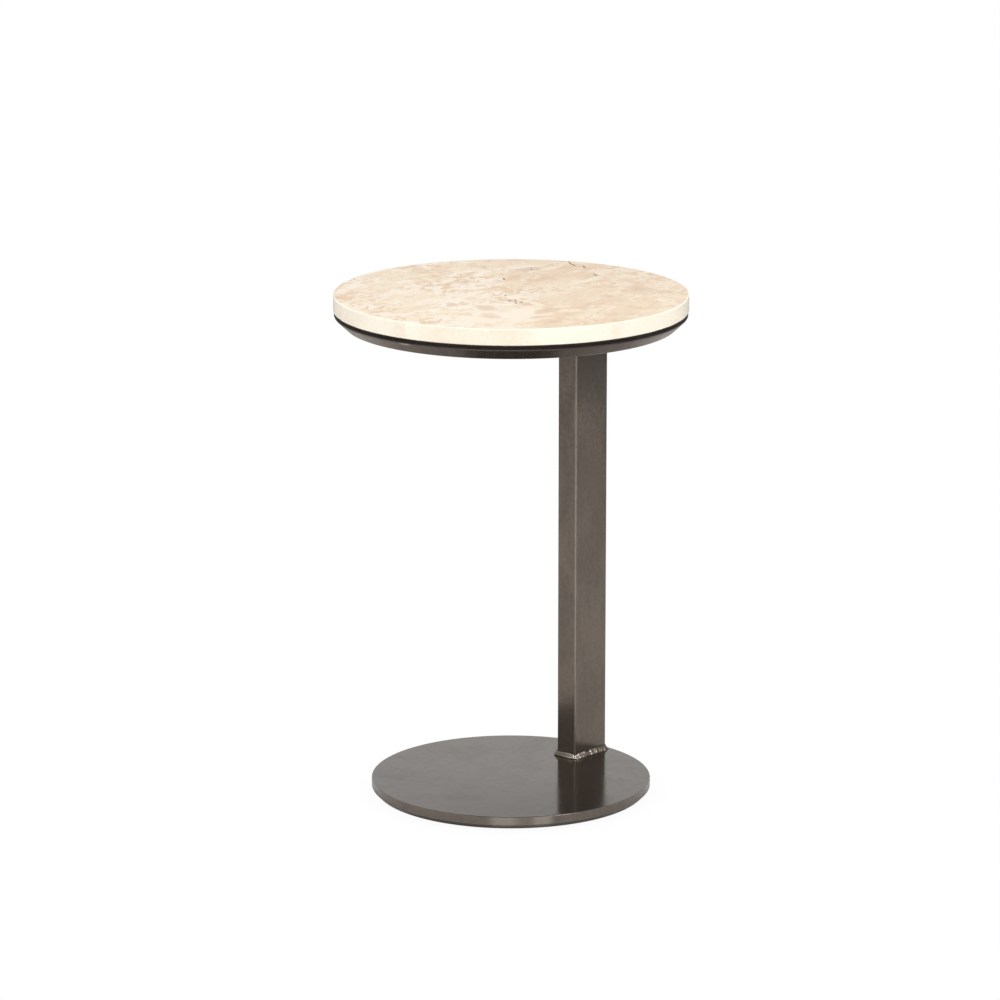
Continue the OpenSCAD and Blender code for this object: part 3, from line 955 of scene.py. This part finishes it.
baseLook = Look(
    steelLook,
    spokes=512, bevel=6 * mm, fold=0.8 * mm, arris=1 * mm, topSkin=0.1 * mm,
    light=(0.165, 0.135, 0.112, 1), dark=(0.118, 0.097, 0.081, 1), marksAndShade=(0.055, 0.045, 0.038, 1),
    cloudSize=0.05, cloudPlace=15.2, cloudStrength=0.4, fineStrength=0.3,
    lineLength=0.06, lineSpacing=0.0009, lineShare=0.4, lineStrength=0.08, lineDepth=0.2,
    scuffShare=0.30, roughness=0.15, grainSize=0.0012, bump=0.07,
    lacquer=0.24, lacquerRoughness=0.12,
    rims=[("top", 1.6 * mm, 0.35, "bare"), ("bevel", 1.2 * mm, 0.3, "bare")],
    # paler patches of the upright edge as painted reflections, then a darker front as painted shade, and
    # smudges, in rows like the pan's
    patches=[
        (107, -135, 15, 3.5, 38, 0.62, 0.6, "bare"), (139, -100, 11, 3.5, 54, 0.66, 0.5, "bare"),
        (124, -119, 34, 4.5, 46, 0.20, 0.8, "bare"),
        (110, -130, 170, 120, 42, 0.62, 0.95, "marksAndShade"), (-121, -73, 12, 2.4, -2, 0.5, 0.5, "marksAndShade"),
        (-97, -91, 8, 2.4, 10, 0.5, 0.5, "marksAndShade"), (-107, -105, 20, 9, 12, 0.4, 0.8, "marksAndShade"),
        (-3, -30, 10, 2.4, 66, 0.4, 0.5, "marksAndShade"), (4, -12, 12, 2.2, 88, 0.4, 0.5, "marksAndShade"),
        (17, -111, 22, 12, 30, 0.35, 0.8, "marksAndShade"), (40, -54, 7, 4.5, 23, 0.4, 0.6, "marksAndShade"),
        (114, 77, 5, 3, 12, 0.5, 0.5, "marksAndShade"), (141, 78, 10, 2.4, 81, 0.5, 0.5, "marksAndShade"),
        (-154, -34, 8, 4, 1, 0.35, 0.6, "marksAndShade"),
    ],
)


def makeBase(look):
    low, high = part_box("base_plate")
    radius = (high.x - low.x) / 2
    bevel, fold = look.bevel, look.fold
    rows = [(0, low.z, 0), (radius - bevel, low.z, fold), (radius, low.z + bevel, fold),
            (radius, high.z, look.arris), (0, high.z, 0)]
    levels = {"top": high.z, "bevel": low.z + bevel}
    rims = [(radius, levels[level], *wear) for level, *wear in look.rims]
    dressed = Look(look, flatTop=high.z - look.topSkin)
    material = lacqueredSteel("baseSteel", dressed, rims=rims, patches=look.patches)
    piece = finishMesh("basePlate", turnedMesh(roundedProfile(rows), look.spokes), material)
    placePiece(piece, "dark_metal", "base_plate")


makeBase(baseLook)
print("base plate made")


# Hand-laid beads round the tube, finer than the CAD's, with a crescent for each ripple

beadLook = Look(
    base=(6.2 * mm, 4.6 * mm), head=(4.0 * mm, 3.6 * mm),   # rise up the tube, reach over the plate
    tubeX=30 * mm, tubeY=60 * mm, tubeCorner=3 * mm, seat=0.05 * mm, crown=0.5,
    pitch=3.2 * mm, bow=1.2 * mm, rippleHeight=0.4 * mm, rippleFront=0.25,
    waves=(1, 7, 11), shares=(0.19, 0.04, 0.04), phases=(52, 266, 185),
    stops=(0.105, 0.345, 0.52, 0.74, 0.976), stopThin=0.36, stopLength=6 * mm,
    ridges=2, ridgeHeight=0.6 * mm, ridgePlace=0.88,    # two passes show best there
    hollowPlace=0.32, hollowLength=16 * mm, hollowDepth=0.75,   # drawn out into a hollow fillet there
    # painted highlights: the crests are painted palest at these glints
    glints=((0.122, 4 * mm), (0.97, 17 * mm), (0.62, 10 * mm)),   # brightest crests
    dullShare=0.28, shineGain=0.9, ridgeDull=0.35,
    steps=14, facets=20, unevenness=0.35, seed=31,
)


# The place s metres along the bead: a point on the tube's outline, the way it faces, and the whole run
def tubePlace(s, reach, look):
    corner = look.tubeCorner
    side, end = look.tubeY - 2 * corner, look.tubeX - 2 * corner
    arc = math.pi * (corner + reach / 2) / 2
    run = 2 * (side + end) + 4 * arc
    halves = math.floor(2 * s / run)
    onSide = s - halves * run / 2
    onArc = onSide - side
    onEnd = onArc - arc
    onLast = onEnd - end
    if onArc < 0:
        angle, centre = 0, (end / 2, onSide - side / 2)
    elif onEnd < 0:
        angle, centre = 90 * onArc / arc, (end / 2, side / 2)
    elif onLast < 0:
        angle, centre = 90, (end / 2 - onEnd, side / 2)
    else:
        angle, centre = 90 + 90 * onLast / arc, (-end / 2, side / 2)
    turn = math.radians(angle)
    way = 1 if halves % 2 == 0 else -1
    point = Vector(centre) + corner * Vector((math.cos(turn), math.sin(turn)))
    return way * point, turn + math.pi * halves, run


# The shorter way round the bead between two shares of it
def wayRound(share, place):
    return abs((share - place + 1.5) % 1 - 0.5)


def swellAt(share, run, look):
    around = 2 * math.pi * share
    rows = zip(look.waves, look.shares, look.phases)
    waves = sum(size * math.sin(around * wave + math.radians(phase)) for wave, size, phase in rows)
    gap = min(run * wayRound(share, place) for place in look.stops)
    near = (1 + math.cos(math.pi * gap / look.stopLength)) / 2 if gap < look.stopLength else 0
    return (1 + waves) * (1 - look.stopThin * near)


# How strongly a crest is painted as a highlight, highest at the glints
def shineAt(share, run, look):
    near = max(1 - run * wayRound(share, place) / length for place, length in look.glints)
    return (1 - math.cos(math.pi * max(0, near))) / 2


# How round the bead's face is: less where it is drawn out into a hollow
def crownAt(share, run, look):
    gap = min(1, run * wayRound(share, look.hollowPlace) / look.hollowLength)
    return look.crown - look.hollowDepth * (1 + math.cos(math.pi * gap)) / 2


# Each ripple rises steeply and falls away behind
def rippleShape(t, front):
    return t / front if t < front else (1 - t) / (1 - front)


def makeBead(name, look, legs, node, floorZ, upWay, centreY):
    rng = random.Random(look.seed)
    rise, reach = legs
    run = tubePlace(0, reach, look)[2]
    ripples = round(run / look.pitch)
    heights = [1 + look.unevenness * rng.uniform(-1, 1) for _ in range(ripples)]
    steps, facets, dull = look.steps, look.facets, look.ridgeDull
    bm = bmesh.new()
    crestHighlight = bm.verts.layers.float.new("crestHighlight")
    rings = []
    for i in range(ripples * steps):
        share = i / (ripples * steps)
        ripple = rippleShape(i % steps / steps, look.rippleFront) * heights[i // steps]
        swell = swellAt(share, run, look)
        shine = shineAt(share, run, look)
        crown = crownAt(share, run, look)
        twoPass = (0.5 + 0.5 * math.cos(2 * math.pi * wayRound(share, look.ridgePlace))) ** 2
        passes = look.ridgeHeight * twoPass
        ring = []
        for k in range(facets + 2):
            up = k / facets
            isRoot = k > facets
            ahead = 0 if isRoot else look.bow * math.sin(math.pi * up)
            place, angle, _ = tubePlace((run * share + ahead) % run, reach, look)
            turn = math.pi / 2 * up
            faceX = (1 - crown) * (1 - up) + crown * math.cos(turn)
            faceY = (1 - crown) * up + crown * math.sin(turn)
            groove = passes * (1 - math.cos(2 * math.pi * look.ridges * up)) / 2
            extra = look.rippleHeight * ripple + groove - passes / 2
            out = look.seat + (0 if isRoot else (reach * swell + extra) * faceX)
            high = 0 if isRoot else (rise * swell + extra) * faceY
            x, y = place.x + out * math.cos(angle), place.y + out * math.sin(angle) + centreY
            vertex = bm.verts.new((x, y, floorZ + upWay * high))
            # painted highlight on ripple crests and on the two ridges, strongest at the glints
            lit = (look.dullShare + look.shineGain * shine) * ripple * math.sin(math.pi * up)
            lit += (dull + (1 - dull) * shine) * groove / look.ridgeHeight
            vertex[crestHighlight] = 0 if isRoot else min(1.0, lit)
            ring.append(vertex)
        rings.append(ring)
    skinLoops(bm, rings + rings[:1])
    placePiece(finishMesh(name, bm, weldMetal), "weld_metal", node)


tubeLow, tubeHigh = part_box("column_tube")
tubeY = (tubeLow.y + tubeHigh.y) / 2
makeBead("baseWeld", beadLook, beadLook.base, "base_weld", tubeLow.z, 1, tubeY)
makeBead("headWeld", beadLook, beadLook.head, "head_weld", tubeHigh.z, -1, tubeY)
print("welds made")


# Finishes of the small pieces that keep their CAD shape

smallLook = Look(
    mottle={"Low": 0.35, "High": 0.65, "Place": 3.0}, grainShare=0.12, grain={"Coarse": 0.3},
    rubs={"Length": 0.006, "Spacing": 0.0004, "Share": 0.3, "Softness": 0.15, "Drift": 0.006},
    rubStrength=0.25, roughSteps=(-0.05, 0.07), bumpDepth=0.1 * mm,
)
smallLooks = [
    Look(smallLook, name="blackOxide", nodes=("head_bolts", "head_washers"), size=0.004, bump=0.2,
         light=(0.045, 0.045, 0.048, 1), dark=(0.018, 0.018, 0.02, 1), bare=(0.22, 0.21, 0.20, 1),
         metallic=0.6, roughness=0.38),
    Look(smallLook, name="zincPlate", nodes=("insert_nuts",), size=0.005, bump=0.15,
         light=(0.62, 0.62, 0.58, 1), dark=(0.44, 0.45, 0.44, 1), bare=(0.75, 0.74, 0.70, 1),
         metallic=1.0, roughness=0.32),
    Look(smallLook, name="clearSilicone", nodes=("bond_pads",), size=0.008, bump=0.25,
         light=(0.70, 0.71, 0.70, 1), dark=(0.58, 0.59, 0.59, 1), bare=(0.78, 0.78, 0.77, 1),
         metallic=0.0, roughness=0.42),
    Look(smallLook, name="glideRubber", nodes=("floor_glides",), size=0.006, bump=0.4,
         light=(0.035, 0.035, 0.036, 1), dark=(0.020, 0.020, 0.021, 1), bare=(0.09, 0.088, 0.085, 1),
         metallic=0.0, roughness=0.68),
]


def smallFinish(name, look):
    material, shader, place = newMaterial(name)
    patch = useGroup(mottle, place, {"Size": look.size, **look.mottle})
    colour = mixColour(patch, look.light, look.dark)
    colour = layOver(colour, look.bare, useGroup(hairlines, place, look.rubs), look.rubStrength)
    fine = useGroup(grain, place, {"Size": look.size * look.grainShare, **look.grain})
    feed(shader, {
        "Base Color": colour, "Metallic": look.metallic, "Roughness": roughnessFrom(patch, look),
        "Normal": bumpFrom(fine, look)})
    return material


# Birch plywood: the plies step with height, and the grain turns a quarter from ply to ply
plyLook = Look(
    plies=11, face=(0.66, 0.50, 0.33, 1), early=(0.72, 0.57, 0.40, 1), late=(0.44, 0.30, 0.18, 1),
    fibre={"Length": 0.09, "Spacing": 0.0013, "Share": 0.6, "Softness": 0.35, "Drift": 0.04},
    bands={"Size": 0.012, "Low": 0.45, "High": 0.62, "Place": 2.0}, bandStretch=(0.15, 1, 1),
    bandStrength=0.35, glue=(0.24, 0.15, 0.09, 1), glueReach=(0.06, 0.02), glueStrength=0.8,
    fibreDepth=0.6, roughness=0.62, bump=0.3, bumpDepth=0.2 * mm,
)


def birchPly(name, look):
    material, shader, place = newMaterial(name)
    low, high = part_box("support_board")
    parts = splitVector(place)
    level = remap(parts[2], low.z, high.z, 0.0, look.plies, smooth=False)
    odd = maths("MODULO", maths("FLOOR", level), 2.0)
    joint = remap(maths("PINGPONG", level, 0.5), *look.glueReach)
    lengthwise = useGroup(hairlines, place, look.fibre)
    crosswise = useGroup(hairlines, joinVector(parts[1], parts[0], parts[2]), look.fibre)
    fibre = mixValue(odd, lengthwise, crosswise)
    colour = mixColour(fibre, look.early, look.face)
    bands = useGroup(mottle, scaled(place, look.bandStretch), look.bands)
    colour = layOver(colour, look.late, bands, look.bandStrength)
    colour = layOver(colour, look.glue, joint, look.glueStrength)
    relief = minus(times(fibre, look.fibreDepth), joint)
    feed(shader, {
        "Base Color": colour, "Roughness": look.roughness, "Normal": bumpFrom(relief, look)})
    return material


def dressNode(node, material):
    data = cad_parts[node].data
    data.materials.clear()
    data.materials.append(material)
    print("finish", node)


for look in smallLooks:
    material = smallFinish(look.name, look)
    for node in look.nodes:
        dressNode(node, material)
dressNode("support_board", birchPly("birchPly", plyLook))
print("small pieces finished")
